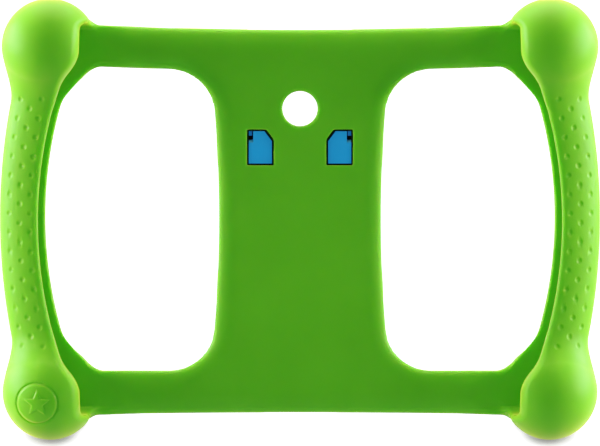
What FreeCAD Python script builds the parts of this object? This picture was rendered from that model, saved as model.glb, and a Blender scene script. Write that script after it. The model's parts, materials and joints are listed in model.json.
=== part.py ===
"""Soft bumper frame for a child's 7 inch tablet, standing on its fold-out rear leg.

Everything is drawn in the bumper's own frame: +X to the user's right, +Y up the
panel, +Z out of the pocket towards the user, with Z = 0 at the backs of the four
corner balls.  The finished pieces are then tilted back together into the standing
pose, so the file's +Z is up and the two lower balls and the leg's tip rest on Z = 0.
"""
import FreeCAD, Part
import math
import os

import Sketcher
from FreeCAD import Placement, Rotation, Vector

DIMENSIONS = [
    # the four corner balls and the grips that join them in pairs
    ("ball_radius", 18.7),
    ("ball_x", 97.5),
    ("ball_y", 67.5),
    ("grip_outer_x", 117.2),
    ("grip_outer_bend", 242.0),
    ("grip_section_pitch", 30.68),
    ("grip_middle_z", 16.5),
    ("grip_half_depth", 11.5),
    # the H-shaped rear panel: a waisted centre and two bars
    ("panel_back_z", 5.7),
    ("panel_thickness", 5.0),
    ("panel_edge_radius", 1.6),
    ("bar_inner_y", 59.2),
    ("bar_outer_y", 75.9),
    ("bar_outer_bend", 1750.0),
    ("panel_side_bend", 174.0),
    ("flare_start_x", 77.0),
    ("flare_end_x", 84.0),
    ("flare_end_y", 80.4),
    ("waist_half_width", 31.9),
    ("waist_bend", 520.0),
    ("panel_corner_radius", 15.0),
    # the see-through opening beside each grip
    ("opening_outer_x", 99.4),
    ("opening_outer_bend", 163.0),
    ("opening_ball_reach_x", 17.6),
    ("opening_ball_reach_y", 14.6),
    ("opening_ball_rounds", 12.0),
    ("flare_rounds", 6.0),
    # the tablet's pocket: lips over its ends, and the deeper space under them
    ("tablet_thickness", 12.0),
    ("pocket_half_height", 76.4),
    ("lip_ball_x", 86.2),
        ("lip_bend", 164.0),
    ("lip_shoulder_x", 93.2),
    ("lip_shoulder_y", 54.7),
    ("lip_corner_y", 62.6),
    ("lip_corner_radius", 7.0),
    ("undercut", 4.0),
    ("undercut_shoulder_x", 3.6),
    ("undercut_shoulder_y", 1.8),
    ("undercut_corner_y", 1.5),
    # the camera hole
    ("camera_y", 42.8),
    ("camera_radius", 6.8),
    # the keyed window on each side of the centre line
    ("window_x", 15.5),
    ("window_y", 27.7),
    ("window_half_width", 5.25),
    ("window_half_height", 7.05),
    ("key_width", 2.9),
    ("key_height", 3.9),
    ("tab_gap", 0.7),
    ("tab_recess", 0.7),
    ("notch_width", 1.7),
    ("notch_height", 3.5),
    ("notch_chamfer", 0.9),
    ("flange_margin", 1.8),
    ("flange_thickness", 1.4),
    ("front_skin", 1.9),
    # the hinge brackets behind the panel and the snap hook on each
    ("bracket_thickness", 1.2),
    ("bracket_half_width", 6.6),
    ("bracket_half_height", 9.4),
    ("hook_width", 1.35),
    ("hook_height", 1.8),
    ("hook_recess", 1.4),
    ("hinge_y", 31.0),
    ("hinge_z", 2.6),
    ("knuckle_radius", 2.2),
    ("knuckle_half_width", 3.6),
    ("knuckle_gap", 0.3),
    ("pin_radius", 1.0),
    ("pin_clearance", 0.05),
    ("pin_chamfer", 0.25),
    # the fold-out leg
    ("fork_width", 4.2),
    ("fork_relief", 0.8),
    ("fork_relief_depth", 0.7),
    ("leg_length", 99.68),
    ("leg_thickness", 3.0),
    ("leg_back_z", 0.7),
    ("leg_top_y", 26.5),
    ("leg_top_half_width", 24.5),
    ("leg_foot_half_width", 27.0),
    ("leg_corner_radius", 7.0),
    ("leg_edge_radius", 0.7),
    ("leg_recess_margin", 6.0),
    ("leg_recess_depth", 0.9),
    ("leg_recess_corner_radius", 3.5),
    ("leg_recess_above_foot", 12.0),
    ("fork_arm_overlap", 3.0),
    ("thumb_radius", 9.0),
    ("thumb_depth", 3.5),
    # the standing pose
    ("lean_angle", 30.0),
    ("leg_angle", 46.0),
]

doc = FreeCAD.newDocument("tablet_bumper")
dims = doc.addObject("Spreadsheet::Sheet", "dims")
for row, (alias, size) in enumerate(DIMENSIONS, 1):
    dims.set("A%d" % row, alias)
    dims.set("B%d" % row, str(size))
    dims.setAlias("B%d" % row, alias)
doc.recompute()


def value(formula):
    """The present value of a formula over the sheet's cells."""
    return float(dims.evalExpression(formula))


# ---------------------------------------------------------------- drawing tools

def primitive(kind, name, sizes, at=("0", "0", "0"), rotation=None):
    """A Part primitive whose sizes and position are bound to the sheet."""
    shape = doc.addObject(kind, name)
    for prop, formula in sizes.items():
        shape.setExpression(prop, formula)
    if rotation:
        shape.Placement = Placement(Vector(0, 0, 0), rotation)
    for axis, formula in zip("xyz", at):
        shape.setExpression("Placement.Base." + axis, formula)
    return shape


def block(name, low, high):
    """A box between two corners given as formulas."""
    sizes = {}
    for prop, start, end in zip(("Length", "Width", "Height"), low, high):
        sizes[prop] = "(%s) - (%s)" % (end, start)
    return primitive("Part::Box", name, sizes, low)


def rod(name, radius, start_x, end_x):
    """A cylinder on the hinge line."""
    sizes = {"Radius": radius, "Height": "(%s) - (%s)" % (end_x, start_x)}
    along_x = Rotation(Vector(0, 1, 0), 90)
    return primitive("Part::Cylinder", name, sizes, (start_x, "dims.hinge_y", "dims.hinge_z"), along_x)


def fuse(name, shapes):
    union = doc.addObject("Part::MultiFuse", name)
    union.Shapes = shapes
    return union


def cut(name, base, tools):
    result = doc.addObject("Part::Cut", name)
    result.Base = base
    result.Tool = tools[0] if len(tools) == 1 else fuse(name + "_tools", tools)
    return result


def mirrored(source, name):
    """The same shape on the other side of the centre line."""
    copy = doc.addObject("Part::Mirroring", name)
    copy.Source = source
    copy.Normal = Vector(1, 0, 0)
    return copy


def arc_between(start, end, radius, side):
    """The short arc between two points; side is +1 when its centre lies on the left."""
    chord = end - start
    rise = math.sqrt(radius ** 2 - (chord.Length / 2) ** 2)
    left = Vector(-chord.y, chord.x, 0).normalize()
    centre = start + chord / 2 + left * rise * side
    return Part.Arc(start, centre - left * radius * side, end)


def outline(body, name, height, corners):
    """A closed sketch with every corner pinned to the sheet.

    Each corner is (x, y) or (x, y, bend, side): with a bend, the edge that leaves the
    corner is an arc of that radius whose centre lies on its left (+1) or right (-1).
    """
    sketch = body.newObject("Sketcher::SketchObject", name)
    plane = [f for f in body.Origin.OriginFeatures if f.Role == "XY_Plane"][0]
    sketch.AttachmentSupport = [(plane, "")]
    sketch.MapMode = "FlatFace"
    sketch.setExpression(".AttachmentOffset.Base.z", height)
    points = [Vector(value(c[0]), value(c[1]), 0) for c in corners]
    starts = []
    for i, corner in enumerate(corners):
        start = points[i]
        end = points[(i + 1) % len(points)]
        if len(corner) == 2:
            sketch.addGeometry(Part.LineSegment(start, end))
            starts.append((1, 2))
        else:
            sketch.addGeometry(arc_between(start, end, value(corner[2]), corner[3]))
            # a sketched arc always runs counter-clockwise about its centre
            starts.append((1, 2) if corner[3] > 0 else (2, 1))
    for i in range(len(corners)):
        following = (i + 1) % len(corners)
        joint = Sketcher.Constraint("Coincident", i, starts[i][1], following, starts[following][0])
        sketch.addConstraint(joint)
    for i, corner in enumerate(corners):
        for kind, formula, size in (("DistanceX", corner[0], points[i].x),
                                    ("DistanceY", corner[1], points[i].y)):
            index = sketch.addConstraint(Sketcher.Constraint(kind, -1, 1, i, starts[i][0], size))
            sketch.setExpression("Constraints[%d]" % index, formula)
        if len(corner) > 2:
            index = sketch.addConstraint(Sketcher.Constraint("Radius", i, value(corner[2])))
            sketch.setExpression("Constraints[%d]" % index, corner[2])
    return sketch


def plate(name, height, thickness, corners):
    """A body that is one padded outline."""
    body = doc.addObject("PartDesign::Body", name)
    sketch = outline(body, name + "_outline", height, corners)
    pad = body.newObject("PartDesign::Pad", name + "_pad")
    pad.Profile = sketch
    pad.setExpression("Length", thickness)
    doc.recompute()
    return body


def hollow(body, name, height, depth, corners):
    """A pocket cut upwards from the given height."""
    sketch = outline(body, name + "_outline", height, corners)
    pocket = body.newObject("PartDesign::Pocket", name)
    pocket.Profile = sketch
    pocket.Reversed = True
    pocket.setExpression("Length", depth)
    doc.recompute()
    return pocket


def round_edges(body, name, radius, chosen):
    """A fillet on the edges of the body's tip that the test picks."""
    tip = body.Tip
    edges = ["Edge%d" % i for i, edge in enumerate(tip.Shape.Edges, 1) if chosen(edge)]
    fillet = body.newObject("PartDesign::Fillet", name)
    fillet.Base = (tip, edges)
    fillet.setExpression("Radius", radius)
    doc.recompute()
    return fillet


def upright_at(places):
    """A test for upright edges that stand at one of the places."""
    def chosen(edge):
        low, high = edge.Vertexes[0].Point, edge.Vertexes[-1].Point
        if abs(low.z - high.z) < 0.5 or abs(low.x - high.x) + abs(low.y - high.y) > 1e-4:
            return False
        return any(math.hypot(low.x - x, low.y - y) < 0.05 for x, y in places)
    return chosen


def flat_at(heights):
    """A test for edges that lie wholly at one of the heights."""
    def chosen(edge):
        box = edge.BoundBox
        return any(abs(box.ZMin - z) < 1e-3 and abs(box.ZMax - z) < 1e-3 for z in heights)
    return chosen


def level_at(edge, y):
    """Whether the edge runs along X at the given height."""
    box = edge.BoundBox
    return abs(box.YMin - y) < 1e-3 and abs(box.YMax - y) < 1e-3


# ---------------------------------------------------------------- bumper frame

PANEL_FRONT = "dims.panel_back_z + dims.panel_thickness"
LIP_UNDERSIDE = PANEL_FRONT + " + dims.tablet_thickness"
FLANGE_TOP = "(" + PANEL_FRONT + " - dims.front_skin)"


def both_ways(x, y):
    """The four sign combinations of one place."""
    return [(sx * x, sy * y) for sx in (1, -1) for sy in (1, -1)]


def arc_x(extreme, bend, y):
    """X of a bowed edge at height y, from its furthest X and its bend radius."""
    return "%s - %s + sqrt(pow(%s; 2) - pow(%s; 2))" % (extreme, bend, bend, y)


# The opening's outline turns round each ball and meets the long bowed edge here.
OPENING_TURN_Y = "(dims.ball_y - dims.opening_ball_reach_y)"
OPENING_TURN_X = arc_x("dims.opening_outer_x", "dims.opening_outer_bend", OPENING_TURN_Y)
OPENING_TOP_X = "(dims.ball_x - dims.opening_ball_reach_x)"
WAIST_Y = "dims.bar_inner_y"
WAIST_X = ("dims.waist_half_width - dims.waist_bend + 2 * dims.waist_bend"
           " - sqrt(pow(dims.waist_bend; 2) - pow(dims.bar_inner_y; 2))")


def opening_corners(side):
    """The opening on one side, drawn counter-clockwise; side is +1 for the right."""
    low_waist = (WAIST_X, "-1 * " + WAIST_Y)
    low_shoulder = (OPENING_TOP_X, "-1 * " + WAIST_Y)
    low_turn = (OPENING_TURN_X, "-1 * " + OPENING_TURN_Y)
    high_turn = (OPENING_TURN_X, OPENING_TURN_Y)
    high_shoulder = (OPENING_TOP_X, WAIST_Y)
    high_waist = (WAIST_X, WAIST_Y)
    outer_arc = ("dims.opening_outer_bend", 1)
    waist_arc = ("dims.waist_bend", -1)
    if side > 0:
        return [low_waist, low_shoulder, low_turn + outer_arc,
                high_turn, high_shoulder, high_waist + waist_arc]
    # mirrored, and read in the opposite order so that it still runs counter-clockwise
    order = [low_waist + waist_arc, high_waist, high_shoulder,
             high_turn + outer_arc, low_turn, low_shoulder]
    return [("-1 * (" + corner[0] + ")",) + corner[1:] for corner in order]


def make_panel():
    """The H-shaped rear panel with its openings, camera hole and windows."""
    half = [
        ("dims.flare_start_x", "-1 * dims.bar_outer_y"),
        ("dims.flare_end_x", "-1 * dims.flare_end_y"),
        ("dims.ball_x", "-1 * dims.ball_y", "dims.panel_side_bend", 1),
        ("dims.ball_x", "dims.ball_y"),
        ("dims.flare_end_x", "dims.flare_end_y"),
        ("dims.flare_start_x", "dims.bar_outer_y", "dims.bar_outer_bend", -1),
    ]
    other_half = [
        ("-1 * dims.flare_start_x", "dims.bar_outer_y"),
        ("-1 * dims.flare_end_x", "dims.flare_end_y"),
        ("-1 * dims.ball_x", "dims.ball_y", "dims.panel_side_bend", 1),
        ("-1 * dims.ball_x", "-1 * dims.ball_y"),
        ("-1 * dims.flare_end_x", "-1 * dims.flare_end_y"),
        ("-1 * dims.flare_start_x", "-1 * dims.bar_outer_y", "dims.bar_outer_bend", -1),
    ]
    corners = half + other_half
    panel = plate("panel", "dims.panel_back_z", "dims.panel_thickness", corners)
    for side, name in ((1, "opening_right"), (-1, "opening_left")):
        hollow(panel, name, "dims.panel_back_z", "dims.panel_thickness", opening_corners(side))
    waist = both_ways(value(WAIST_X), value(WAIST_Y))
    shoulder = both_ways(value(OPENING_TOP_X), value(WAIST_Y))
    turn = both_ways(value(OPENING_TURN_X), value(OPENING_TURN_Y))
    flare = both_ways(value("dims.flare_start_x"), value("dims.bar_outer_y"))
    round_edges(panel, "waist_rounds", "dims.panel_corner_radius", upright_at(waist))
    round_edges(panel, "shoulder_rounds", "dims.opening_ball_rounds", upright_at(shoulder + turn))
    round_edges(panel, "flare_rounds", "dims.flare_rounds", upright_at(flare))
    faces = (value("dims.panel_back_z"), value(PANEL_FRONT))
    round_edges(panel, "rim_rounds", "dims.panel_edge_radius", flat_at(faces))
    return panel


def make_grip():
    """The right-hand grip: ellipses whose inner and outer ends follow two arcs."""
    sections = []
    # the ellipse's long axis stands along Z and its normal along Y
    upright = Rotation(Vector(1, 1, 1), -120)
    for index in range(-2, 3):
        station = "(%d * dims.grip_section_pitch)" % index
        outer = "(" + arc_x("dims.grip_outer_x", "dims.grip_outer_bend", station) + ")"
        inner = "(" + arc_x("dims.opening_outer_x", "dims.opening_outer_bend", station) + ")"
        sizes = {"MajorRadius": "dims.grip_half_depth", "MinorRadius": "(%s - %s) / 2" % (outer, inner)}
        middle = "(%s + %s) / 2" % (outer, inner)
        section = primitive("Part::Ellipse", "grip_section_%d" % (index + 3), sizes,
                            (middle, station, "dims.grip_middle_z"), upright)
        sections.append(section)
    grip = doc.addObject("Part::Loft", "grip")
    grip.Sections = sections
    grip.Solid = True
    return grip


def pocket_space(name, height, depth, undercut):
    """The tablet's outline between the lips, or with the undercut, padded to a depth."""
    lip_x, shoulder_x, shoulder_y = "dims.lip_ball_x", "dims.lip_shoulder_x", "dims.lip_shoulder_y"
    corner_y, bend = "dims.lip_corner_y", "dims.lip_bend"
    if undercut:
        lip_x = "(" + lip_x + " + dims.undercut)"
        shoulder_x = "(" + shoulder_x + " + dims.undercut_shoulder_x)"
        shoulder_y = "(" + shoulder_y + " + dims.undercut_shoulder_y)"
        corner_y = "(" + corner_y + " + dims.undercut_corner_y)"
        bend = "(" + bend + " + dims.undercut)"
    end_y = "dims.pocket_half_height"
    corners = [
        (lip_x, "-1 * " + end_y),
        (lip_x, "-1 * " + corner_y),
        (shoulder_x, "-1 * " + shoulder_y, bend, 1),
        (shoulder_x, shoulder_y),
        (lip_x, corner_y),
        (lip_x, end_y),
        ("-1 * " + lip_x, end_y),
        ("-1 * " + lip_x, corner_y),
        ("-1 * " + shoulder_x, shoulder_y, bend, 1),
        ("-1 * " + shoulder_x, "-1 * " + shoulder_y),
        ("-1 * " + lip_x, "-1 * " + corner_y),
        ("-1 * " + lip_x, "-1 * " + end_y),
    ]
    space = plate(name, height, depth, corners)
    turns = both_ways(value(lip_x), value(corner_y)) + both_ways(value(shoulder_x), value(shoulder_y))
    round_edges(space, name + "_rounds", "dims.lip_corner_radius", upright_at(turns))
    return space


def keyed_corners(shrink, notched):
    """A window or tab outline on the right: its upper inner corner is cut off."""
    inner = "dims.window_x - dims.window_half_width + %s" % shrink
    outer = "dims.window_x + dims.window_half_width - %s" % shrink
    low = "dims.window_y - dims.window_half_height + %s" % shrink
    high = "dims.window_y + dims.window_half_height - %s" % shrink
    corners = [(inner, low), (outer, low)]
    if notched:
        corners += [
            (outer, high + " - dims.notch_height"),
            (outer + " - dims.notch_width", high + " - dims.notch_height"),
            (outer + " - dims.notch_width", high),
        ]
    else:
        corners.append((outer, high))
    corners += [(inner + " + dims.key_width", high), (inner, high + " - dims.key_height")]
    return corners


def make_bumper():
    lips = pocket_space("lip_space", LIP_UNDERSIDE, "dims.ball_radius * 2", False)
    tablet = pocket_space("tablet_space", PANEL_FRONT, "dims.tablet_thickness", True)
    dumbbell = [make_grip()]
    for name, side in (("ball_upper", 1), ("ball_lower", -1)):
        at = ("dims.ball_x", "%d * dims.ball_y" % side, "dims.ball_radius")
        dumbbell.append(primitive("Part::Sphere", name, {"Radius": "dims.ball_radius"}, at))
    # one grip and its two balls are joined, then trimmed by the tablet's pocket
    end_right = cut("end_right", fuse("end_right_blank", dumbbell), [lips, tablet])
    end_left = mirrored(end_right, "end_left")
    camera = primitive("Part::Cylinder", "camera_hole",
                       {"Radius": "dims.camera_radius", "Height": "dims.panel_thickness"},
                       ("0", "dims.camera_y", "dims.panel_back_z"))
    window = plate("window_right", "dims.panel_back_z", "dims.panel_thickness", keyed_corners("0", False))
    groove = block("groove_right",
                   ("dims.window_x - dims.window_half_width - dims.flange_margin",
                    "dims.window_y - dims.window_half_height - dims.flange_margin",
                    FLANGE_TOP + " - dims.flange_thickness"),
                   ("dims.window_x + dims.window_half_width + dims.flange_margin",
                    "dims.window_y + dims.window_half_height + dims.flange_margin", FLANGE_TOP))
    openings = [camera, window, mirrored(window, "window_left"), groove, mirrored(groove, "groove_left")]
    panel = cut("panel_with_windows", make_panel(), openings)
    return fuse("bumper_frame", [panel, end_right, end_left])


# ---------------------------------------------------------------- tabs, brackets, leg

def make_tab():
    """The blue keyed tab: a recessed front plug on a flange held in the panel's groove."""
    front = "dims.front_skin - dims.tab_recess"
    plug = plate("tab_plug", FLANGE_TOP, front, keyed_corners("dims.tab_gap", True))
    flange = block("tab_flange",
                   ("dims.window_x - dims.window_half_width - dims.flange_margin",
                    "dims.window_y - dims.window_half_height - dims.flange_margin",
                    FLANGE_TOP + " - dims.flange_thickness"),
                   ("dims.window_x + dims.window_half_width + dims.flange_margin",
                    "dims.window_y + dims.window_half_height + dims.flange_margin", FLANGE_TOP))
    slot = block("tab_hook_slot",
                 ("dims.window_x + dims.window_half_width - dims.tab_gap - dims.notch_width",
                  "dims.window_y + dims.window_half_height - dims.tab_gap - dims.notch_height",
                  FLANGE_TOP + " - dims.flange_thickness"),
                 ("dims.window_x + dims.window_half_width - dims.tab_gap",
                  "dims.window_y + dims.window_half_height - dims.tab_gap", FLANGE_TOP))
    slotted = cut("tab_slotted", fuse("tab_right_blank", [plug, flange]), [slot])
    doc.recompute()
    # the front edge below the notch is broken, as a lead-in for the snap hook
    notch_y = value("dims.window_y + dims.window_half_height - dims.tab_gap - dims.notch_height")
    lead_in = flat_at([value(PANEL_FRONT + " - dims.tab_recess")])
    tab = doc.addObject("Part::Chamfer", "tab_right")
    tab.Base = slotted
    size = value("dims.notch_chamfer")
    tab.Edges = [(i, size, size) for i, edge in enumerate(slotted.Shape.Edges, 1)
                 if lead_in(edge) and level_at(edge, notch_y)]
    return tab


def make_bracket():
    """The rear bracket: a plate behind the panel, its hinge knuckle and its snap hook."""
    flange_back = FLANGE_TOP + " - dims.flange_thickness"
    boss = plate("bracket_boss", "dims.panel_back_z", flange_back + " - dims.panel_back_z",
                 keyed_corners("dims.tab_gap", True))
    base = block("bracket_base",
                 ("dims.window_x - dims.bracket_half_width", "dims.window_y - dims.bracket_half_height",
                  "dims.panel_back_z - dims.bracket_thickness"),
                 ("dims.window_x + dims.bracket_half_width", "dims.window_y + dims.bracket_half_height",
                  "dims.panel_back_z"))
    hook_x = "dims.window_x + dims.window_half_width - dims.tab_gap"
    hook_y = "dims.window_y + dims.window_half_height - dims.tab_gap"
    hook = block("bracket_hook",
                 (hook_x + " - dims.hook_width", hook_y + " - dims.hook_height", "dims.panel_back_z"),
                 (hook_x, hook_y, PANEL_FRONT + " - dims.hook_recess"))
    knuckle = rod("bracket_knuckle", "dims.knuckle_radius",
                  "dims.window_x - dims.knuckle_half_width", "dims.window_x + dims.knuckle_half_width")
    web = block("bracket_web",
                ("dims.window_x - dims.knuckle_half_width", "dims.hinge_y - dims.knuckle_radius",
                 "dims.hinge_z"),
                ("dims.window_x + dims.knuckle_half_width", "dims.hinge_y + dims.knuckle_radius",
                 "dims.panel_back_z"))
    bore = rod("bracket_bore", "dims.pin_radius", "dims.window_x - dims.knuckle_half_width",
               "dims.window_x + dims.knuckle_half_width")
    # the base is relieved beside the knuckle so that the leg's fork can turn
    reliefs = []
    for side in (-1, 1):
        reach = ["%d * dims.knuckle_half_width" % side, "%d * dims.bracket_half_width" % side]
        first, last = reach[::side]
        swing = "dims.knuckle_radius + dims.fork_relief"
        reliefs.append(block("bracket_relief_%s" % ("inner" if side < 0 else "outer"),
                             ("dims.window_x + " + first, "dims.hinge_y - (%s)" % swing,
                              "dims.panel_back_z - dims.bracket_thickness"),
                             ("dims.window_x + " + last, "dims.hinge_y + " + swing,
                              "dims.panel_back_z - dims.bracket_thickness + dims.fork_relief_depth")))
    return cut("bracket_right", fuse("bracket_right_blank", [base, boss, hook, knuckle, web]),
               [bore] + reliefs)


def make_pin():
    """The steel pin through one bracket and the leg's fork on each side of it."""
    reach = "dims.knuckle_half_width + dims.knuckle_gap + dims.fork_width"
    stock = rod("pin_stock", "dims.pin_radius", "dims.window_x - (%s)" % reach, "dims.window_x + " + reach)
    doc.recompute()
    pin = doc.addObject("Part::Chamfer", "pin_right")
    pin.Base = stock
    size = value("dims.pin_chamfer")
    pin.Edges = [(i, size, size) for i, edge in enumerate(stock.Shape.Edges, 1) if edge.Closed]
    return pin


def make_leg():
    """The fold-out leg, drawn folded flat against the panel's back."""
    foot_y = "(dims.hinge_y - dims.leg_length)"
    blade = plate("leg_blade", "dims.leg_back_z", "dims.leg_thickness", [
        ("-1 * dims.leg_foot_half_width", foot_y),
        ("dims.leg_foot_half_width", foot_y),
        ("dims.leg_top_half_width", "dims.leg_top_y"),
        ("-1 * dims.leg_top_half_width", "dims.leg_top_y"),
    ])
    foot = [(s * value("dims.leg_foot_half_width"), value(foot_y)) for s in (1, -1)]
    round_edges(blade, "leg_corners", "dims.leg_corner_radius", upright_at(foot))
    inset = "dims.leg_recess_margin"
    hollow(blade, "leg_recess", "dims.leg_back_z", "dims.leg_recess_depth", [
        ("-1 * (dims.leg_foot_half_width - %s)" % inset, foot_y + " + dims.leg_recess_above_foot"),
        ("dims.leg_foot_half_width - " + inset, foot_y + " + dims.leg_recess_above_foot"),
        ("dims.leg_top_half_width - " + inset, "dims.leg_top_y - " + inset),
        ("-1 * (dims.leg_top_half_width - %s)" % inset, "dims.leg_top_y - " + inset),
    ])
    recess_low_y = foot_y + " + dims.leg_recess_above_foot"
    recess = [(s * value("dims.leg_foot_half_width - " + inset), value(recess_low_y)) for s in (1, -1)]
    recess += [(s * value("dims.leg_top_half_width - " + inset), value("dims.leg_top_y - " + inset))
               for s in (1, -1)]
    round_edges(blade, "recess_corners", "dims.leg_recess_corner_radius", upright_at(recess))
    faces = (value("dims.leg_back_z"), value("dims.leg_back_z + dims.leg_thickness"))
    round_edges(blade, "leg_edges", "dims.leg_edge_radius", flat_at(faces))
    thumb = primitive("Part::Cylinder", "thumb_scoop",
                      {"Radius": "dims.thumb_radius", "Height": "dims.leg_thickness"},
                      ("0", foot_y + " - dims.thumb_radius + dims.thumb_depth", "dims.leg_back_z"))
    pieces = [blade]
    cuts = [thumb]
    near = "dims.knuckle_half_width + dims.knuckle_gap"
    far = near + " + dims.fork_width"
    for side, name in ((1, "right"), (-1, "left")):
        for reach, first, last in (("inner", "-(%s)" % far, "-(%s)" % near), ("outer", near, far)):
            start, end = (first, last) if side > 0 else ("-(%s)" % last, "-(%s)" % first)
            start = "%d * dims.window_x + (%s)" % (side, start)
            end = "%d * dims.window_x + (%s)" % (side, end)
            label = "fork_%s_%s" % (name, reach)
            pieces.append(rod(label + "_knuckle", "dims.knuckle_radius", start, end))
            arm_low_y = "dims.leg_top_y - dims.fork_arm_overlap"
            pieces.append(block(label + "_arm", (start, arm_low_y, "dims.leg_back_z"),
                                (end, "dims.hinge_y", "dims.leg_back_z + dims.leg_thickness")))
            cuts.append(rod(label + "_bore", "dims.pin_radius + dims.pin_clearance", start, end))
    return cut("stand_leg", fuse("stand_leg_blank", pieces), cuts)


# ---------------------------------------------------------------- assembly

bumper = make_bumper()
tab = make_tab()
bracket = make_bracket()
pin = make_pin()
leg = make_leg()
right_hand = [tab, bracket, pin]
left_hand = [mirrored(tab, "tab_left"), mirrored(bracket, "bracket_left"), mirrored(pin, "pin_left")]
doc.recompute()

# The leg swings out about the hinge line, then everything leans back together.
hinge = Vector(0, value("dims.hinge_y"), value("dims.hinge_z"))
opened = Placement(Vector(0, 0, 0), Rotation(Vector(1, 0, 0), value("dims.leg_angle")), hinge)
lean = Placement(Vector(0, 0, 0), Rotation(Vector(1, 0, 0), 90 - value("dims.lean_angle")))
lower_ball = lean.multVec(Vector(0, -value("dims.ball_y"), value("dims.ball_radius")))
floor = lower_ball.z - value("dims.ball_radius")
front = lower_ball.y - value("dims.ball_radius")
leg_box = leg.Shape.copy().transformGeometry((lean * opened).toMatrix()).optimalBoundingBox()
print("leg tip above the floor: %.3f mm" % (leg_box.ZMin - floor))
standing = Placement(Vector(0, -(front + leg_box.YMax) / 2, -floor), lean.Rotation)
for piece in [bumper] + right_hand:
    piece.Placement = standing
leg.Placement = standing * opened
# a mirror image follows its source, since the lean turns about the mirror's normal
doc.recompute()

nodes = [bumper] + right_hand + left_hand + [leg]
for item in doc.Objects:
    if "Invalid" in item.State or "Error" in item.State:
        raise RuntimeError("%s is %s" % (item.Name, item.State))
for node in nodes:
    if node.Shape.isNull() or not node.Shape.isValid():
        raise RuntimeError("%s has no valid shape" % node.Name)

os.makedirs("parts", exist_ok=True)
for node in nodes:
    node.Label = node.Name
    node.Shape.exportStep("parts/%s.step" % node.Label)
    box = node.Shape.optimalBoundingBox()
    print("%-14s solids %d  volume %9.1f  x %.2f..%.2f  y %.2f..%.2f  z %.2f..%.2f" % (
        node.Label, len(node.Shape.Solids), node.Shape.Volume,
        box.XMin, box.XMax, box.YMin, box.YMax, box.ZMin, box.ZMax))
hinge_at = standing.multVec(hinge)
print("hinge line at y %.4f z %.4f" % (hinge_at.y, hinge_at.z))
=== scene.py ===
import json
import math

import bmesh
import bpy
import numpy as np
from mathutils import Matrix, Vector

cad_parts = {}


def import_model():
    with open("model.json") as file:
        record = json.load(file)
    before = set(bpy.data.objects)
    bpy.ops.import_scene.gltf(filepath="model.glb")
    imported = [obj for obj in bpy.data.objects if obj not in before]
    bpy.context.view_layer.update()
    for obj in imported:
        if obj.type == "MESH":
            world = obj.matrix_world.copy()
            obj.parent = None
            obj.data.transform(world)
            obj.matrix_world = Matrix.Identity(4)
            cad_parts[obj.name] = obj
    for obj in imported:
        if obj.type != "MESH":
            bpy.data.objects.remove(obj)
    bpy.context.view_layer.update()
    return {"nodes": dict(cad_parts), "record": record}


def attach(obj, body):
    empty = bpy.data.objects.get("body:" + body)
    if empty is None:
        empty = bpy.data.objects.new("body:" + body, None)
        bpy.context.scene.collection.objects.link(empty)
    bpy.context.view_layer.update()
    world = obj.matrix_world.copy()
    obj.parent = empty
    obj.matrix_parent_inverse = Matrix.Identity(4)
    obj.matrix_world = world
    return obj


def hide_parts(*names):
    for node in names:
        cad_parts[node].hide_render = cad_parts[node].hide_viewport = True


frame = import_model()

MM = 0.001

# ---------------------------------------------------------------- the bumper's own frame
# Local millimetres: x right, y up the panel, z out of the pocket towards the user.
MOUNTS = {m["name"]: m for m in frame["record"]["mounts"]}
SEAT_AT = np.array([0.0, -20.0, 10.7])  # where the tablet_seat mount lies in the local frame
OUT = np.array(MOUNTS["camera_hole"]["axis"], float)
OUT /= np.linalg.norm(OUT)
UP = np.array([0.0, OUT[2], -OUT[1]])
TO_WORLD = np.column_stack([np.array([1.0, 0.0, 0.0]), UP, OUT])
ORIGIN = np.array(MOUNTS["tablet_seat"]["pos_m"], float) - TO_WORLD @ SEAT_AT * MM


def world(points):
    """Local millimetres to metres in the row frame."""
    return np.asarray(points, float) @ TO_WORLD.T * MM + ORIGIN


# Sizes of the moulding in mm, for one quarter of it unless named otherwise. A bend is an edge's radius
# of curvature seen from the front. A FADE is the two places between which something eases in or out.
# corner balls and grips
BALL = (97.5, 67.5, 18.7)
BALL_RADIUS = 18.7
NECK_ROUND = 8.0
GRIP_OUTER, GRIP_OUTER_BEND = 117.2, 242.0
GRIP_INNER, GRIP_INNER_BEND = 100.3, 163.0
GRIP_HALF_WIDTH, GRIP_SIDE_ROUND = 12.8, 2.5
GRIP_Z, GRIP_HALF_DEPTH = 16.5, 13.0
GRIP_END, GRIP_BEND_END = 66.0, 80.0
GRIP_DROP = 0.9
INNER_SQUARED = 0.95  # turns a distance in x into one square to the bowed inner side
FACE_SLOPE, FACE_INSET, FACE_Z, FACE_ROUND = math.radians(19), 11.2, 27.6, 7.0
BACK_Z = 5.0
# panel; a bar is its inner edge and that edge's bow, then its outer edge and that edge's bow
PANEL_Z, PANEL_HALF = 8.2, 2.5
PANEL_FRONT, PANEL_BACK = PANEL_Z + PANEL_HALF, PANEL_Z - PANEL_HALF
BAR_BOW_X = 77.0
LOWER_BAR = (60.0, 0.0, 76.7, 0.7)
UPPER_BAR = (57.2, 1.9, 73.75, 1.7)
BAR_FADE = (-20.0, 20.0)
PANEL_SIDE, PANEL_SIDE_BEND = 107.5, 170.0
EDGE_ROUND, EDGE_SPREAD, EDGE_ROUND_NEAR_BALL, BACK_EDGE_ROUND = 9.0, 2.2, 3.0, 0.9
EDGE_FADE = (60.0, 78.0)
WEB_ROUND, FLARE_ROUND = 1.2, 4.5
FLARE_IN_FADE, FLARE_OUT_FADE = (66.0, 76.0), (79.5, 83.5)
# large openings
WAIST, WAIST_BEND, WAIST_CORNER = 31.9, 520.0, 15.5
OPENING_SIDE, OPENING_BEND = 100.0, 160.0
OPENING_BALL, OPENING_SHOULDER, OPENING_TURN = 17.8, 4.0, 4.5
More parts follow.
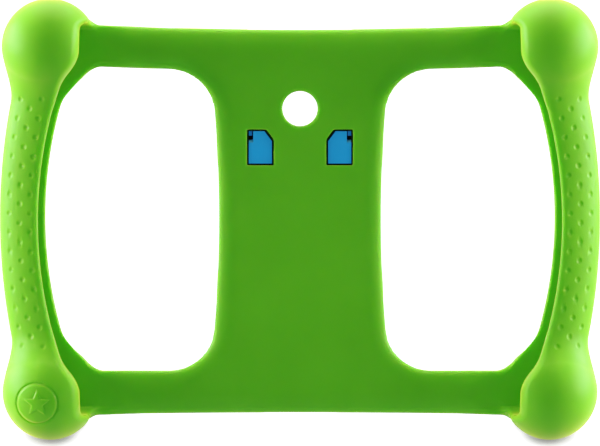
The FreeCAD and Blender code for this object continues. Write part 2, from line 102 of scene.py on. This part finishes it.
# lips and the pocket they hold the tablet in
LIP_BALL, LIP_MIDDLE, LIP_BEND = 86.0, 101.8, 169.0
LIP_CORNER, LIP_SHOULDER = (86.0, 61.8), (95.6, 54.4)
LIP_CORNER_ROUND, LIP_SHOULDER_ROUND = 4.0, 3.0
LIP_BALL_BOW = 0.002
LIP_ROUND, LIP_ROUND_FROM, LIP_ROUND_RISE, UNDER_LIP_ROUND = 2.8, 11.5, 6.0, 1.2
POCKET_END, POCKET_RAMP, POCKET_RAMP_SLOPE, UNDERCUT = 76.4, 73.6, 0.8, 4.0
POCKET_RAMP_ROUND, POCKET_CORNER_ROUND = 1.5, 2.0
POCKET_END_ROUND, POCKET_END_FADE, POCKET_END_SIDE_FADE = 1.8, (70.0, 76.0), (66.0, 76.0)
POCKET_Z, LIP_Z, MOUTH_OVERLAP = 10.7, 22.7, 1.0
# camera hole, keyed windows, and the blue parts' depths in them
CAMERA_Y, CAMERA_RADIUS, CAMERA_ROUND = 42.8, 6.8, 1.4
WINDOW_X, WINDOW_Y = 15.5, 27.7
WINDOW_HALF = (5.25, 7.05)
WINDOW_ROUND, WINDOW_CORNER = 0.5, 0.5
KEY = (2.9, 3.9)
TAB_FRONT, BRACKET_FACE, HOOK_FRONT = 10.0, 5.7, 9.3


def round_union(a, b, r):
    """Union of two signed distances, with a fillet of radius r between them."""
    u = np.maximum(r - a, 0)
    v = np.maximum(r - b, 0)
    return np.maximum(r, np.minimum(a, b)) - np.hypot(u, v)


def round_common(a, b, r):
    """What two signed distances share, with its edge rounded to radius r."""
    return -round_union(-a, -b, r)


def bowed(x, y, extreme, bend):
    """Distance beyond an upright edge that is an arc of radius bend."""
    return np.hypot(x - (extreme - bend), y) - bend


def eased(low, high, v):
    """Rises smoothly from 0 at low to 1 at high."""
    t = np.clip((v - low) / (high - low), 0, 1)
    return t * t * (3 - 2 * t)


def grip_edges(y):
    """The grip's inner and outer edge in x."""
    outer = GRIP_OUTER - GRIP_OUTER_BEND + np.sqrt(GRIP_OUTER_BEND ** 2 - y ** 2)
    inner = GRIP_INNER - GRIP_INNER_BEND + np.sqrt(GRIP_INNER_BEND ** 2 - y ** 2)
    return inner, outer


def grip_field(x, y, z):
    """A bowed tube of elliptic section, cut by a sloping front face, a flat back and an inner side."""
    inner, outer = grip_edges(y)
    middle = outer - GRIP_HALF_WIDTH
    slope = y / GRIP_OUTER_BEND
    px = (x - middle) / GRIP_HALF_WIDTH
    pz = (z - GRIP_Z) / GRIP_HALF_DEPTH
    reach = np.hypot(px, pz)
    steep = np.hypot(px / GRIP_HALF_WIDTH, pz / GRIP_HALF_DEPTH) + 1e-9
    tube = reach * (reach - 1) / steep / np.sqrt(1 + slope ** 2)
    face = (z - FACE_Z) * math.cos(FACE_SLOPE) + (x - outer + FACE_INSET) * math.sin(FACE_SLOPE)
    tube = round_common(round_common(tube, face, FACE_ROUND), BACK_Z - z, GRIP_SIDE_ROUND)
    return round_common(tube, (inner - x) * INNER_SQUARED, GRIP_SIDE_ROUND)


def lip_line(x, y):
    """Distance beyond the edge of the lips: a wall at the ball, a slant and the grip's long arc."""
    wall = x - LIP_BALL + LIP_BALL_BOW * np.maximum(y - LIP_CORNER[1], 0) ** 2
    arc = bowed(x, y, LIP_MIDDLE, LIP_BEND)
    dx, dy = LIP_SHOULDER[0] - LIP_CORNER[0], LIP_SHOULDER[1] - LIP_CORNER[1]
    slant = (-(x - LIP_CORNER[0]) * dy + (y - LIP_CORNER[1]) * dx) / math.hypot(dx, dy)
    return round_union(wall, round_common(arc, slant, LIP_SHOULDER_ROUND), LIP_CORNER_ROUND)


def bar_edges(x, py):
    """Distances of the bar's inner and outer edges from the centre line; both bow outwards."""
    upper = eased(*BAR_FADE, py)
    bow = (x / BAR_BOW_X) ** 2
    inner, inner_bow, outer, outer_bow = ((1 - upper) * low + upper * high
                                          for low, high in zip(LOWER_BAR, UPPER_BAR))
    return inner + inner_bow * bow, outer + outer_bow * bow


def opening_line(x, y, bar_inner):
    """Distance outside a large opening, between the waist, a bar, a ball and the grip."""
    waist = WAIST + y ** 2 / (2 * WAIST_BEND) - x
    bar = y - bar_inner
    outer = bowed(x, y, OPENING_SIDE, OPENING_BEND)
    ball = OPENING_BALL - np.hypot(x - BALL[0], y - BALL[1])
    corner = round_common(waist, bar, WAIST_CORNER)
    shoulder = round_common(ball, bar, OPENING_SHOULDER)
    turn = round_common(ball, outer, OPENING_TURN)
    return np.maximum(corner, np.maximum(shoulder, turn))


def window_line(x, y):
    """Distance outside the keyed window, in its own place; its upper inner corner is cut off."""
    u, v = np.abs(x) - WINDOW_X, y - WINDOW_Y
    sides = round_common(np.abs(u) - WINDOW_HALF[0], np.abs(v) - WINDOW_HALF[1], WINDOW_CORNER)
    run = math.hypot(*KEY)
    key = (-(u + WINDOW_HALF[0]) * KEY[1] + (v - WINDOW_HALF[1] + KEY[1]) * KEY[0]) / run
    return round_common(sides, key, WINDOW_CORNER)


def moulding(px, py, pz):
    """Signed distance to the bumper without its dimples and emblem."""
    x, y, z = np.abs(px), np.abs(py), pz
    ball = np.sqrt((x - BALL[0]) ** 2 + (y - BALL[1]) ** 2 + (z - BALL[2]) ** 2) - BALL_RADIUS
    grip = np.maximum(grip_field(x, np.minimum(y, GRIP_BEND_END), z), y - GRIP_END)
    end = round_union(ball, grip, NECK_ROUND)
    front = (z - PANEL_FRONT) * EDGE_SPREAD
    bar_inner, bar_outer = bar_edges(x, py)
    edge = y - bar_outer
    side = bowed(x, y, PANEL_SIDE, PANEL_SIDE_BEND)
    rim = np.maximum(np.maximum(edge, side), -opening_line(x, y, bar_inner))
    edge_round = EDGE_ROUND + (EDGE_ROUND_NEAR_BALL - EDGE_ROUND) * eased(*EDGE_FADE, x)
    panel = round_common(front, rim, edge_round) / EDGE_SPREAD
    panel = round_common(panel, PANEL_BACK - z, BACK_EDGE_ROUND)
    flare = eased(*FLARE_IN_FADE, y) * (1 - eased(*FLARE_OUT_FADE, y))
    whole = round_union(end, panel, WEB_ROUND + (FLARE_ROUND - WEB_ROUND) * flare)
    line = lip_line(x, np.abs(py + GRIP_DROP))
    ramp = (y - POCKET_RAMP - POCKET_RAMP_SLOPE * (z - POCKET_Z)) / math.hypot(1, POCKET_RAMP_SLOPE)
    past_end = round_common(y - POCKET_END, ramp, POCKET_RAMP_ROUND)
    mouth = np.maximum(round_common(line, past_end, POCKET_CORNER_ROUND), LIP_Z - MOUTH_OVERLAP - z)
    depth = np.abs(z - (POCKET_Z + LIP_Z) / 2) - (LIP_Z - POCKET_Z) / 2
    under = np.maximum(np.maximum(line - UNDERCUT, past_end), depth)
    pocket = round_union(mouth, under, UNDER_LIP_ROUND)
    rounding = LIP_ROUND * np.clip((z - LIP_ROUND_FROM) / LIP_ROUND_RISE, 0.001, 1)
    near_flare = eased(*POCKET_END_FADE, y) * eased(*POCKET_END_SIDE_FADE, x)
    rounding = np.maximum(rounding, POCKET_END_ROUND * near_flare)
    whole = round_common(whole, -pocket, rounding)
    camera = np.hypot(px, py - CAMERA_Y) - CAMERA_RADIUS
    whole = round_common(whole, -camera, CAMERA_ROUND)
    return round_common(whole, -window_line(px, py), WINDOW_ROUND)


def gradient(field, p, step=0.04):
    """The field's slope at each point, by central differences."""
    g = np.empty_like(p)
    for axis in range(3):
        q = p.copy()
        q[:, axis] += step
        high = field(*q.T)
        q[:, axis] -= 2 * step
        g[:, axis] = (high - field(*q.T)) / (2 * step)
    return g


# ---------------------------------------------------------------- grip dimples and emblem
DIMPLE_PITCH, DIMPLE_ROW, DIMPLE_RADIUS, DIMPLE_DEPTH = 7.4, 4.2, 1.1, 0.32
DIMPLE_INSET, DIMPLE_EDGE_ROUND = 8.0, 0.22
DIMPLE_SPHERE = (DIMPLE_RADIUS ** 2 + DIMPLE_DEPTH ** 2) / (2 * DIMPLE_DEPTH)
DIMPLE_ROWS = ((-1, -6.5, 14), (0, -6.0, 13), (1, -6.5, 14))  # side, first place in pitches, count
EMBLEM_AT, EMBLEM_RADIUS = (-102.1, -70.6), 8.0
GROOVE_DEPTH, GROOVE_WIDTH = 0.4, 0.42
DISC_HEIGHT, DISC_FADE = 0.12, (EMBLEM_RADIUS - 0.9, EMBLEM_RADIUS - 0.3)
STAR_TIP, STAR_WAIST, STAR_HEIGHT, STAR_FADE = 5.2, 2.3, 0.35, (-0.25, 0.25)
FRONT_Z = 20.0  # the details lie in front of this
DIMPLE_REACH = (95.0, 58.0, 18.0)  # x, y and z limits of the part of a grip that a dimple can touch


def dimple_places():
    """Surface points and outward normals of the dimples on the right grip."""
    spots = []
    for row, first, count in DIMPLE_ROWS:
        for index in range(count):
            y = (index + first) * DIMPLE_PITCH - GRIP_DROP
            spots.append([grip_edges(y)[1] - DIMPLE_INSET + row * DIMPLE_ROW, y, FACE_Z])
    spots = np.array(spots)
    for _ in range(8):
        slope = gradient(moulding, spots)
        spots[:, 2] -= moulding(*spots.T) / np.maximum(slope[:, 2], 0.3)
    normals = gradient(moulding, spots, 0.5)
    return list(zip(spots, normals / np.linalg.norm(normals, axis=1)[:, None]))


DIMPLES = dimple_places()


def near_dimple(x, y, z):
    """Distance to the nearest dimple's sphere centre, less its radius."""
    nearest = np.full(np.shape(x), 99.0)
    close = (np.abs(x) > DIMPLE_REACH[0]) & (np.abs(y) < DIMPLE_REACH[1]) & (z > DIMPLE_REACH[2])
    ax, y, z = np.abs(x[close]), y[close], z[close]
    best = nearest[close]
    for spot, normal in DIMPLES:
        c = spot + normal * (DIMPLE_SPHERE - DIMPLE_DEPTH)
        best = np.minimum(best, np.sqrt((ax - c[0]) ** 2 + (y - c[1]) ** 2 + (z - c[2]) ** 2))
    nearest[close] = best
    return nearest - DIMPLE_SPHERE


def emblem_height(x, y, z):
    """Relief of the round badge: a groove, a raised disc and a plain star."""
    u, v = x - EMBLEM_AT[0], y - EMBLEM_AT[1]
    ring = np.hypot(u, v)
    groove = -GROOVE_DEPTH * np.exp(-((ring - EMBLEM_RADIUS) / GROOVE_WIDTH) ** 2)
    disc = DISC_HEIGHT * (1 - eased(*DISC_FADE, ring))
    half_point = math.pi / 5
    turn = np.mod(np.arctan2(u, v) + half_point, 2 * half_point) - half_point
    ax, ay = ring * np.sin(np.abs(turn)), ring * np.cos(turn)
    wx, wy = STAR_WAIST * math.sin(half_point), STAR_WAIST * math.cos(half_point)
    star = ((ay - STAR_TIP) * wx + ax * (STAR_TIP - wy)) / math.hypot(wx, STAR_TIP - wy)
    relief = STAR_HEIGHT * (1 - eased(*STAR_FADE, star))
    return np.where(z > FRONT_Z, groove + disc + relief, 0.0)


def finished(x, y, z):
    """Signed distance to the bumper with its details."""
    dimpled = round_common(moulding(x, y, z), -near_dimple(x, y, z), DIMPLE_EDGE_ROUND)
    return dimpled - emblem_height(x, y, z)


NEWTON_ROUNDS, LONGEST_STEP = 4, 0.5


def onto_surface(field, p):
    """Moves points along the field's slope onto its zero surface."""
    for _ in range(NEWTON_ROUNDS):
        g = gradient(field, p)
        d = field(*p.T)
        size = np.maximum((g ** 2).sum(1), 0.05)
        move = -(d / size)[:, None] * g
        length = np.linalg.norm(move, axis=1)
        move *= np.minimum(1, LONGEST_STEP / np.maximum(length, 1e-9))[:, None]
        p = p + move
    return p


# ---------------------------------------------------------------- meshing a field
# grid lines in mm as (position, spacing) stops; x is mirrored
GRID_X = [(0, 1.6), (8.5, 1.4), (9.5, 0.9), (21.5, 0.9), (24, 1.6), (72, 1.9), (80, 0.98), (119.5, 0.98)]
GRID_Y = [(-88, 0.95), (-56, 0.95), (-46, 1.7), (14, 1.7), (20, 0.95), (51, 0.95), (55, 0.95), (88, 0.95)]
GRID_Z = [(-1.5, 0.93), (38.5, 0.93)]
# widths of the finer bands beside the lips, beside the holes, and round the dimples and the badge
LIP_BAND, HOLE_BAND, DIMPLE_BAND, BADGE_BAND = 1.4, 1.5, 0.9, 1.2


def spaced(stops):
    """Grid lines through (position, spacing) stops."""
    lines = [stops[0][0]]
    for (a, step_a), (b, step_b) in zip(stops, stops[1:]):
        count = max(1, round((b - a) / ((step_a + step_b) / 2)))
        t = np.arange(1, count + 1) / count
        ratio = step_b / step_a
        if abs(ratio - 1) > 0.01:
            t = (ratio ** t - 1) / (ratio - 1)
        lines += list(a + (b - a) * t)
    return np.array(lines)


def surface_net(field, xs, ys, zs):
    """Vertices and quads of the field's zero surface, one vertex in each crossed cell."""
    gx, gy, gz = np.meshgrid(xs, ys, zs, indexing="ij")
    value = field(gx, gy, gz)
    inside = value < 0
    shape = tuple(n - 1 for n in value.shape)
    total = np.zeros(shape + (3,))
    count = np.zeros(shape)
    lines = (gx, gy, gz)
    crossings = []
    for axis in range(3):
        low = [slice(None)] * 3
        high = [slice(None)] * 3
        low[axis], high[axis] = slice(0, -1), slice(1, None)
        low, high = tuple(low), tuple(high)
        crossed = inside[low] != inside[high]
        crossings.append((crossed, inside[low]))
        with np.errstate(divide="ignore", invalid="ignore"):
            t = np.where(crossed, value[low] / (value[low] - value[high]), 0)
        where = [g[low] + (g[high] - g[low]) * t for g in lines]
        others = [a for a in range(3) if a != axis]
        for first in (0, 1):
            for second in (0, 1):
                pick = [slice(None)] * 3
                for other, shift in zip(others, (first, second)):
                    pick[other] = slice(shift, shift + shape[other])
                pick = tuple(pick)
                hit = crossed[pick]
                count += hit
                for k in range(3):
                    total[..., k] += np.where(hit, where[k][pick], 0)
    used = count > 0
    number = np.full(shape, -1)
    number[used] = np.arange(used.sum())
    points = total[used] / count[used][:, None]
    quads = []
    for axis, (crossed, starts_inside) in enumerate(crossings):
        others = [a for a in range(3) if a != axis]
        spots = np.argwhere(crossed)
        keep = np.all((spots[:, others] > 0) & (spots[:, others] < np.array(shape)[others]), axis=1)
        spots = spots[keep]
        flip = starts_inside[tuple(spots.T)]
        corners = []
        for shift in ((0, 0), (1, 0), (1, 1), (0, 1)):
            cell = spots.copy()
            cell[:, others[0]] -= shift[0]
            cell[:, others[1]] -= shift[1]
            corners.append(number[tuple(cell.T)])
        loop = np.stack(corners, 1)
        if axis == 1:
            flip = ~flip
        loop[~flip] = loop[~flip][:, ::-1]
        quads.append(loop)
    return points, np.concatenate(quads)


def refine(points, faces, chosen, times=1):
    """Splits the faces whose corners the test picks."""
    mesh = bpy.data.meshes.new("refining")
    mesh.from_pydata(points, [], faces)
    work = bmesh.new()
    work.from_mesh(mesh)
    for _ in range(times):
        work.verts.ensure_lookup_table()
        spots = np.array([v.co for v in work.verts])
        near = chosen(spots)
        edges = [e for e in work.edges if near[e.verts[0].index] and near[e.verts[1].index]]
        bmesh.ops.subdivide_edges(work, edges=edges, cuts=1, use_grid_fill=True)
        work.verts.index_update()
    points = np.array([v.co for v in work.verts])
    faces = [[v.index for v in f.verts] for f in work.faces]
    work.free()
    bpy.data.meshes.remove(mesh)
    return points, faces


def bumper_mesh():
    """The finished bumper's vertices and faces, finer where its edges and details need it."""
    half = spaced(GRID_X)
    xs = np.concatenate([-half[:0:-1], half])
    points, quads = surface_net(moulding, xs, spaced(GRID_Y), spaced(GRID_Z))
    points = onto_surface(moulding, points)

    def soft_edges(p):
        x, y, z = np.abs(p[:, 0]), np.abs(p[:, 1]), p[:, 2]
        lip = (np.abs(lip_line(x, y)) < LIP_BAND) & (z > 21)
        window = (np.abs(window_line(p[:, 0], p[:, 1])) < HOLE_BAND) & (x < 24)
        camera = np.abs(np.hypot(p[:, 0], p[:, 1] - CAMERA_Y) - CAMERA_RADIUS) < HOLE_BAND
        return lip | window | camera

    def details(p):
        x, y, z = p.T
        hit = np.zeros(len(p), bool)
        near = (np.abs(x) > 98) & (np.abs(y) < 54) & (z > FRONT_Z)
        hit[near] = near_dimple(x[near], y[near], z[near]) < DIMPLE_BAND
        badge = np.hypot(x - EMBLEM_AT[0], y - EMBLEM_AT[1]) < EMBLEM_RADIUS + BADGE_BAND
        return hit | (badge & (z > FRONT_Z))

    points, faces = refine(points, quads.tolist(), soft_edges)
    points, faces = refine(points, faces, details, 2)
    return onto_surface(finished, points), faces


def make_mesh(name, points, faces, normals):
    """A smooth piece from local points, with a normal for each."""
    mesh = bpy.data.meshes.new(name)
    mesh.from_pydata([tuple(p) for p in world(points)], [], faces)
    mesh.polygons.foreach_set("use_smooth", [True] * len(mesh.polygons))
    mesh.normals_split_custom_set_from_vertices([tuple(n) for n in normals @ TO_WORLD.T])
    mesh.update()
    piece = bpy.data.objects.new(name, mesh)
    bpy.context.scene.collection.objects.link(piece)
    return piece


# ---------------------------------------------------------------- materials
def shader(name, color, roughness, **sockets):
    """A new material and its Principled node."""
    material = bpy.data.materials.new(name)
    material.use_nodes = True
    body = material.node_tree.nodes["Principled BSDF"]
    body.inputs["Base Color"].default_value = (*color, 1)
    body.inputs["Roughness"].default_value = roughness
    for socket, setting in sockets.items():
        body.inputs[socket.replace("_", " ")].default_value = setting
    return material, body


def node(material, kind, inputs=None, **settings):
    """A new node in a material or world; each input is set to a value or linked to an output."""
    made = material.node_tree.nodes.new(kind)
    for key, setting in settings.items():
        setattr(made, key, setting)
    for key, setting in (inputs or {}).items():
        if hasattr(setting, "is_output"):
            material.node_tree.links.new(setting, made.inputs[key])
        else:
            made.inputs[key].default_value = setting
    return made


def noise(material, scale, detail=3.0, roughness=0.5):
    coords = node(material, "ShaderNodeTexCoord")
    inputs = {"Vector": coords.outputs["Object"], "Scale": scale, "Detail": detail,
              "Roughness": roughness}
    return node(material, "ShaderNodeTexNoise", inputs).outputs["Fac"]


def clouded(material, factor, dull, vivid):
    """A colour that drifts between two as the factor goes from 0.3 to 0.7."""
    made = node(material, "ShaderNodeValToRGB", {"Fac": factor})
    for stop, place, color in zip(made.color_ramp.elements, (0.3, 0.7), (dull, vivid)):
        stop.position, stop.color = place, (*color, 1)
    return made.outputs["Color"]


def rough_range(material, factor, low, high):
    spread = node(material, "ShaderNodeMapRange", {"Value": factor, "To Min": low, "To Max": high})
    return spread.outputs["Result"]


def bump(material, height, strength, distance, below=None):
    inputs = {"Height": height, "Strength": strength, "Distance": distance}
    if below:
        inputs["Normal"] = below
    return node(material, "ShaderNodeBump", inputs).outputs["Normal"]


def link(material, output, body, socket):
    material.node_tree.links.new(output, body.inputs[socket])


def green_elastomer():
    material, body = shader(
        "soft_green_elastomer", (0.065, 0.37, 0.010), 0.45, Sheen_Weight=0.55, Sheen_Roughness=0.4,
        Sheen_Tint=(1.0, 0.95, 0.1, 1), Specular_IOR_Level=0.08, Subsurface_Weight=0.9,
        Subsurface_Scale=0.01, Subsurface_Radius=(0.38, 0.6, 0.12))
    cloud = noise(material, 45, 4)
    tint = clouded(material, cloud, (0.062, 0.355, 0.0095), (0.070, 0.385, 0.0115))
    link(material, tint, body, "Base Color")
    link(material, rough_range(material, noise(material, 160, 3), 0.36, 0.5), body, "Roughness")
    fine = bump(material, noise(material, 1600, 4, 0.65), 0.25, 0.00006)
    link(material, bump(material, noise(material, 220, 2), 0.15, 0.0001, fine), body, "Normal")
    return material


def shadowed(name, color):
    """Painted shade: a dark, dull material for the narrow groove round each tab and what lies deep in it,
    which are unlit.
    """
    material, body = shader(name, color, 0.7, Specular_IOR_Level=0.1)
    cloud = noise(material, 400, 3)
    dull = tuple(0.8 * c for c in color)
    link(material, clouded(material, cloud, dull, color), body, "Base Color")
    link(material, rough_range(material, cloud, 0.6, 0.8), body, "Roughness")
    return material


def blue_plastic(name, rough, grain, color=(0.003, 0.25, 0.85)):
    material, body = shader(name, color, rough, Specular_IOR_Level=0.3)
    cloud = noise(material, 60, 3)
    dull, vivid = tuple(0.95 * c for c in color), tuple(1.04 * c for c in color)
    link(material, clouded(material, cloud, dull, vivid), body, "Base Color")
    worn = rough_range(material, noise(material, 300, 3), rough - 0.05, rough + 0.07)
    link(material, worn, body, "Roughness")
    link(material, bump(material, noise(material, 2400, 2, 0.6), grain, 0.00005), body, "Normal")
    return material


def ground_steel():
    material, body = shader("ground_steel", (0.58, 0.58, 0.6), 0.28, Metallic=1.0)
    coords = node(material, "ShaderNodeTexCoord")
    stretched = node(material, "ShaderNodeMapping",
                     {"Vector": coords.outputs["Object"], "Scale": (60, 3000, 3000)})
    lines = node(material, "ShaderNodeTexNoise",
                 {"Vector": stretched.outputs["Vector"], "Scale": 1.0, "Detail": 3}).outputs["Fac"]
    link(material, rough_range(material, lines, 0.2, 0.38), body, "Roughness")
    link(material, bump(material, lines, 0.2, 0.00003), body, "Normal")
    return material


GREEN = green_elastomer()
# painted shade for the window groove and for the faces deep in the window
GROOVE = shadowed("shadowed_green_groove", (0.003, 0.03, 0.006))
GAP = shadowed("shadowed_ledge", (0.002, 0.022, 0.009))
# painted highlight: a paler blue for the tabs' sloped lead-in below the notch
PAINTED_HIGHLIGHT_BLUE = blue_plastic("painted_highlight_blue_plastic", 0.3, 0.1, (0.07, 0.42, 0.78))
BLUE = blue_plastic("hard_blue_plastic", 0.32, 0.12)
BLUE_LEG = blue_plastic("hard_blue_leg_plastic", 0.4, 0.3, (0.0015, 0.12, 0.42))
STEEL = ground_steel()

# ---------------------------------------------------------------- pieces
points, faces = bumper_mesh()
normals = gradient(finished, points, 0.12)
normals /= np.maximum(np.linalg.norm(normals, axis=1), 1e-9)[:, None]
bumper = make_mesh("bumper_moulding", points, faces, normals)
bumper.data.materials.append(GREEN)
bumper.data.materials.append(GROOVE)
# painted shade: the window's walls behind the panel's front get the dark groove material
middles = np.array([points[f].mean(0) for f in faces])
walls = np.abs(window_line(middles[:, 0], middles[:, 1])) < 0.3
walls &= middles[:, 2] < PANEL_FRONT - WINDOW_ROUND
bumper.data.polygons.foreach_set("material_index", walls.astype(int).tolist())
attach(bumper, "bumper")
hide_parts("bumper_frame")

CAD_MATERIALS = {"tab_left": BLUE, "tab_right": BLUE, "bracket_left": BLUE, "bracket_right": BLUE,
                 "stand_leg": BLUE_LEG, "pin_left": STEEL, "pin_right": STEEL}
WELD_WITHIN, BEVEL_WIDTH, BEVEL_ANGLE = 0.002 * MM, 0.18 * MM, math.radians(40)
SHALLOW = 0.1  # mm; how near a face has to be to a depth to count as lying there
for name, material in CAD_MATERIALS.items():
    piece = frame["nodes"][name]
    piece.data.materials.clear()
    piece.data.materials.append(material)
    weld = piece.modifiers.new("weld", "WELD")
    weld.merge_threshold = WELD_WITHIN
    bevel = piece.modifiers.new("bevel", "BEVEL")
    bevel.width, bevel.segments = BEVEL_WIDTH, 2
    bevel.limit_method, bevel.angle_limit = "ANGLE", BEVEL_ANGLE
    bevel.harden_normals = True
    if not name.startswith(("tab", "bracket")):
        continue
    # painted shade on what lies deep in the window, and a painted highlight, a paler blue, on the lead-in
    # below the notch
    piece.data.materials.append(GAP)
    piece.data.materials.append(PAINTED_HIGHLIGHT_BLUE)
    for face in piece.data.polygons:
        depth = float(OUT @ (np.array(piece.matrix_world @ face.center) - ORIGIN)) / MM
        facing_out = float(OUT @ np.array(piece.matrix_world.to_3x3() @ face.normal))
        if name.startswith("tab") and depth < TAB_FRONT - SHALLOW:
            face.material_index = 2 if 0.4 < facing_out < 0.9 else 1
        elif name.startswith("bracket") and facing_out > 0.9:
            if BRACKET_FACE - SHALLOW < depth < HOOK_FRONT - 2 * SHALLOW:
                face.material_index = 1

# ---------------------------------------------------------------- floor, light, camera
REACH, WHITE_GLOW = 6.0, 2.3
floor_mesh = bpy.data.meshes.new("floor")
floor_corners = [(-REACH, -REACH, 0), (REACH, -REACH, 0), (REACH, REACH, 0), (-REACH, REACH, 0)]
floor_mesh.from_pydata(floor_corners, [], [(0, 1, 2, 3)])
floor = bpy.data.objects.new("floor", floor_mesh)
bpy.context.scene.collection.objects.link(floor)
floor.location.z = -0.1 * MM
FLOOR, floor_body = shader("floor_white", (0.2, 0.21, 0.25), 0.9, Specular_IOR_Level=0.1)
floor_body.inputs["Emission Color"].default_value = (1, 1, 1, 1)
# the floor glows evenly white to the camera as if lit through; ambient occlusion cuts its glow into a
# painted contact shadow where something touches it; it throws little light back, as a painted pool of light
# brightest near the object
touch = node(FLOOR, "ShaderNodeAmbientOcclusion", {"Distance": 0.0035})
dark = node(FLOOR, "ShaderNodeMath", {0: touch.outputs["AO"], 1: 1.5}, operation="POWER").outputs["Value"]
place = node(FLOOR, "ShaderNodeNewGeometry").outputs["Position"]
away = node(FLOOR, "ShaderNodeVectorMath", {0: place}, operation="LENGTH").outputs["Value"]
pool = node(FLOOR, "ShaderNodeMapRange", {"Value": away, "From Min": 0.08, "From Max": 0.4,
                                          "To Min": 0.8, "To Max": 0.35}).outputs["Result"]
seen = node(FLOOR, "ShaderNodeLightPath").outputs["Is Camera Ray"]
level = node(FLOOR, "ShaderNodeMix", {"Factor": seen, "A": pool, "B": WHITE_GLOW}).outputs["Result"]
glow = node(FLOOR, "ShaderNodeMath", {0: dark, 1: level}, operation="MULTIPLY")
link(FLOOR, glow.outputs["Value"], floor_body, "Emission Strength")
floor.data.materials.append(FLOOR)

SKY = bpy.data.worlds.new("studio")
SKY.use_nodes = True
background = SKY.node_tree.nodes["Background"]
background.inputs["Color"].default_value = (1, 1, 1, 1)
# the room behind the panel is brighter than the room in front of it, and looks white past the floor's end
direction = node(SKY, "ShaderNodeTexCoord").outputs["Generated"]
facing = node(SKY, "ShaderNodeVectorMath", {0: direction, 1: tuple(-OUT)}, operation="DOT_PRODUCT")
room = node(SKY, "ShaderNodeMapRange", {"Value": facing.outputs["Value"], "From Min": -0.2, "From Max": 0.7,
                                        "To Min": 0.36, "To Max": 1.4}).outputs["Result"]
seen = node(SKY, "ShaderNodeLightPath").outputs["Is Camera Ray"]
level = node(SKY, "ShaderNodeMix", {"Factor": seen, "A": room, "B": WHITE_GLOW}).outputs["Result"]
link(SKY, level, background, "Strength")
bpy.context.scene.world = SKY

look = bpy.context.scene.view_settings
look.view_transform = "Standard"
look.use_curve_mapping = True
# highlights roll off softly, as on a camera
WHITE = 2.0
TONES = ((0.3, 0.3), (0.6, 0.47), (1.0, 0.68), (1.5, 0.89))
tone = look.curve_mapping
tone.white_level = (WHITE, WHITE, WHITE)
curve = tone.curves[3]
for bright, shown in TONES:
    curve.points.new(bright / WHITE, shown)
for point in curve.points:
    point.handle_type = "AUTO_CLAMPED"
tone.update()


def turn_to(thing, local_at, local_aim):
    """Stands a light or camera at one local point, looking at another."""
    thing.location = Vector(world([local_at])[0])
    sight = Vector(world([local_aim])[0]) - thing.location
    thing.rotation_euler = sight.to_track_quat("-Z", "Y").to_euler()


LIGHT_TINT, LIGHT_AIM = (1.0, 0.86, 0.62), (0, 0, 18)


def softbox(name, local_at, size, power):
    """An area light placed and aimed in the bumper's own frame."""
    light = bpy.data.lights.new(name, "AREA")
    light.shape = "RECTANGLE"
    light.size, light.size_y = size
    light.energy, light.color = power, LIGHT_TINT
    lamp = bpy.data.objects.new(name, light)
    bpy.context.scene.collection.objects.link(lamp)
    turn_to(lamp, local_at, LIGHT_AIM)


softbox("left_box", (-900, 60, -160), (0.9, 0.9), 80)
softbox("left_front_box", (-900, 60, 160), (0.6, 0.9), 7)
softbox("right_box", (900, 60, -160), (0.9, 0.9), 74)
softbox("right_front_box", (900, 60, 160), (0.6, 0.9), 7)
softbox("top_box", (0, 900, -200), (1.2, 0.7), 24)

DISTANCE, FRAME_WIDTH, RAISED, SENSOR = 2500.0, 234.0, math.radians(3.5), 36.0
FRAME_CENTRE = (0.0, -1.4, 18.7)
camera_data = bpy.data.cameras.new("camera")
camera = bpy.data.objects.new("camera", camera_data)
bpy.context.scene.collection.objects.link(camera)
towards_eye = np.array([0.0, math.sin(RAISED), math.cos(RAISED)])
turn_to(camera, np.array(FRAME_CENTRE) + towards_eye * DISTANCE, FRAME_CENTRE)
camera_data.sensor_width = SENSOR
camera_data.lens = SENSOR * DISTANCE / FRAME_WIDTH
camera_data.clip_start, camera_data.clip_end = 0.05, 30
bpy.context.scene.camera = camera
